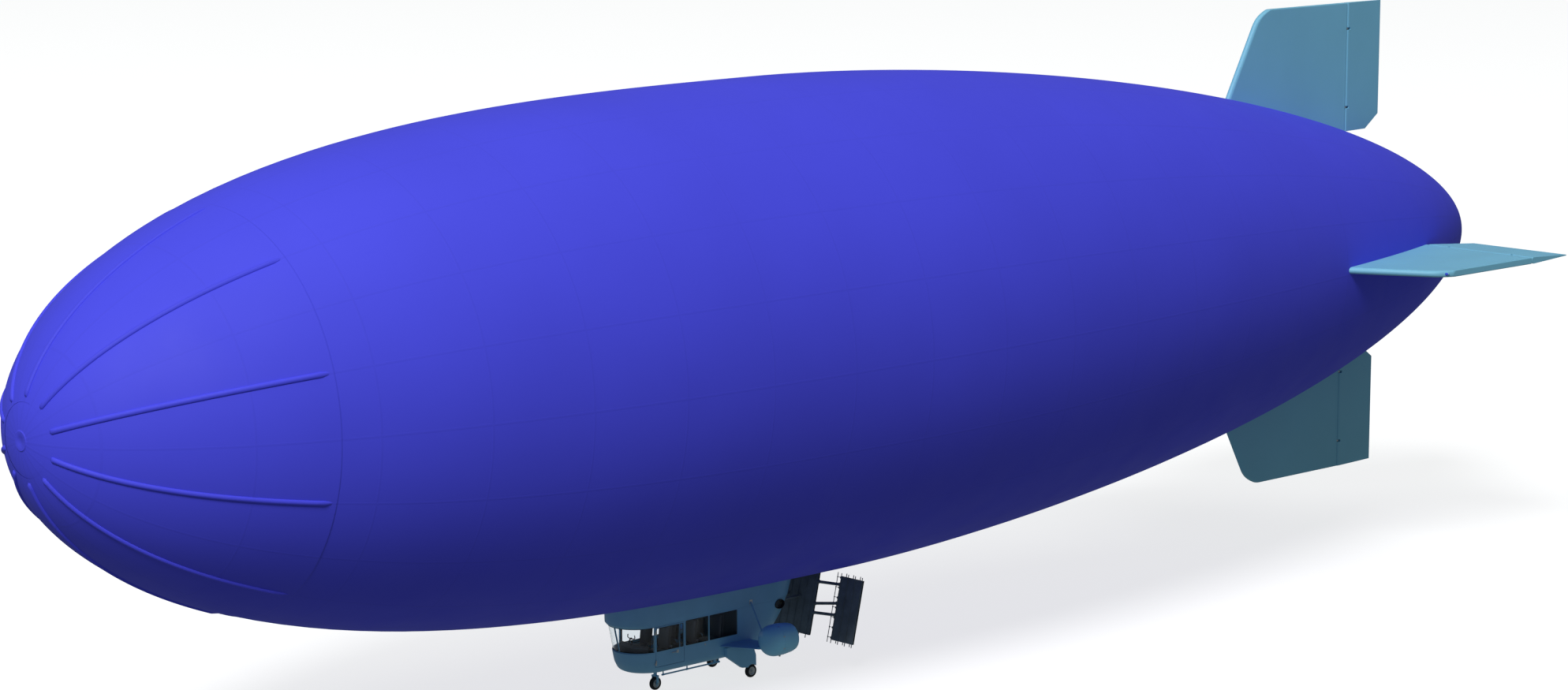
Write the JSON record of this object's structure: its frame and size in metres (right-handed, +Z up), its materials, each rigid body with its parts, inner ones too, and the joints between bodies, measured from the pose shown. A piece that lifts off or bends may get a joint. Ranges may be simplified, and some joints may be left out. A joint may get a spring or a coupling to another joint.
{
  "type": "non-rigid airship, half-size model",
  "caption": "Half-size airship: long gas envelope with nose battens and four fins, and a slung cabin with windows, engine pods on stub wings, aft boards and wheels.",
  "frame": {"origin": "on the envelope's axis at the centre of its gas, where the lift holds it up", "axes": "+X forward to the nose, +Y to port, +Z up"},
  "size_m": [30, 8.2, 9.407],
  "materials": {
    "envelope_blue": "smooth coated cloth",
    "fin_blue": "smooth coated cloth",
    "cabin_blue": "satin paint",
    "dark_grey": "matt",
    "seat_cloth": "woven",
    "bare_metal": "satin",
    "engine_grey": "cast and painted",
    "rubber": "matt"
  },
  "bodies": {
    "airframe": {"envelope": "envelope_blue", "nose_cap": "envelope_blue", "nose_battens": "envelope_blue", "fin_top": "fin_blue", "fin_bottom": "fin_blue", "fin_port": "fin_blue", "fin_starboard": "fin_blue", "hull_lower": "cabin_blue", "cabin_frame": "cabin_blue", "roof_fairing": "cabin_blue", "cabin_floor": "dark_grey", "dashboard": "dark_grey", "aft_bulkhead": "dark_grey", "pilot_seat_port": "seat_cloth", "pilot_seat_starboard": "seat_cloth", "middle_seat_port": "seat_cloth", "middle_seat_starboard": "seat_cloth", "rear_seat_port": "seat_cloth", "rear_seat_starboard": "seat_cloth", "control_column_port": "dark_grey", "control_column_starboard": "dark_grey", "pod_port": "cabin_blue", "pod_starboard": "cabin_blue", "engine_port": "engine_grey", "engine_starboard": "engine_grey", "wing_port": "cabin_blue", "wing_starboard": "cabin_blue", "strut_port": "cabin_blue", "strut_starboard": "cabin_blue", "leg_port": "cabin_blue", "leg_starboard": "cabin_blue", "nose_post": "cabin_blue", "belly_rail": "cabin_blue", "array_centre": "dark_grey", "array_port": "dark_grey", "array_starboard": "dark_grey"},
    "rudder_top": {"rudder_top": "fin_blue"},
    "rudder_bottom": {"rudder_bottom": "fin_blue"},
    "elevator_port": {"elevator_port": "fin_blue"},
    "elevator_starboard": {"elevator_starboard": "fin_blue"},
    "door_port": {"door_port": "cabin_blue"},
    "door_starboard": {"door_starboard": "cabin_blue"},
    "fan_port": {"fan_port": "dark_grey"},
    "fan_starboard": {"fan_starboard": "dark_grey"},
    "main_wheel_port": {"main_rim_port": "bare_metal", "main_tyre_port": "rubber"},
    "main_wheel_starboard": {"main_rim_starboard": "bare_metal", "main_tyre_starboard": "rubber"},
    "nose_fork": {"nose_fork": "cabin_blue"},
    "nose_wheel": {"nose_rim": "bare_metal", "nose_tyre": "rubber"}
  },
  "joints": [
    {"name": "rudder_top_hinge", "type": "hinge", "parent": "airframe", "child": "rudder_top", "pos_m": [-13.297, 0, 3], "axis": [0, 0, 1], "range_deg": [-30, 30]},
    {"name": "rudder_bottom_hinge", "type": "hinge", "parent": "airframe", "child": "rudder_bottom", "pos_m": [-13.297, 0, -3], "axis": [0, 0, 1], "range_deg": [-30, 30]},
    {"name": "elevator_port_hinge", "type": "hinge", "parent": "airframe", "child": "elevator_port", "pos_m": [-13.297, 3, 0.066], "axis": [0, 1, 0], "range_deg": [-25, 25]},
    {"name": "elevator_starboard_hinge", "type": "hinge", "parent": "airframe", "child": "elevator_starboard", "pos_m": [-13.297, -3, 0.066], "axis": [0, 1, 0], "range_deg": [-25, 25]},
    {"name": "door_port_hinge", "type": "hinge", "parent": "airframe", "child": "door_port", "pos_m": [3.1535, 0.411, -4.53], "axis": [0, 0, 1], "range_deg": [-80, 0]},
    {"name": "door_starboard_hinge", "type": "hinge", "parent": "airframe", "child": "door_starboard", "pos_m": [3.1535, -0.411, -4.53], "axis": [0, 0, 1], "range_deg": [0, 80]},
    {"name": "fan_port_spin", "type": "hinge", "parent": "airframe", "child": "fan_port", "pos_m": [1.127, 1.02, -4.548], "axis": [1, 0, 0], "continuous": true},
    {"name": "fan_starboard_spin", "type": "hinge", "parent": "airframe", "child": "fan_starboard", "pos_m": [1.127, -1.02, -4.548], "axis": [1, 0, 0], "continuous": true},
    {"name": "main_wheel_port_spin", "type": "hinge", "parent": "airframe", "child": "main_wheel_port", "pos_m": [1.271, 0.432, -5.139], "axis": [0, 1, 0], "continuous": true},
    {"name": "main_wheel_starboard_spin", "type": "hinge", "parent": "airframe", "child": "main_wheel_starboard", "pos_m": [1.271, -0.432, -5.139], "axis": [0, 1, 0], "continuous": true},
    {"name": "nose_steering", "type": "hinge", "parent": "airframe", "child": "nose_fork", "pos_m": [2.819, 0, -5.139], "axis": [0, 0, 1], "range_deg": [-45, 45]},
    {"name": "nose_wheel_spin", "type": "hinge", "parent": "nose_fork", "child": "nose_wheel", "pos_m": [2.819, 0, -5.139], "axis": [0, 1, 0], "continuous": true}
  ]
}
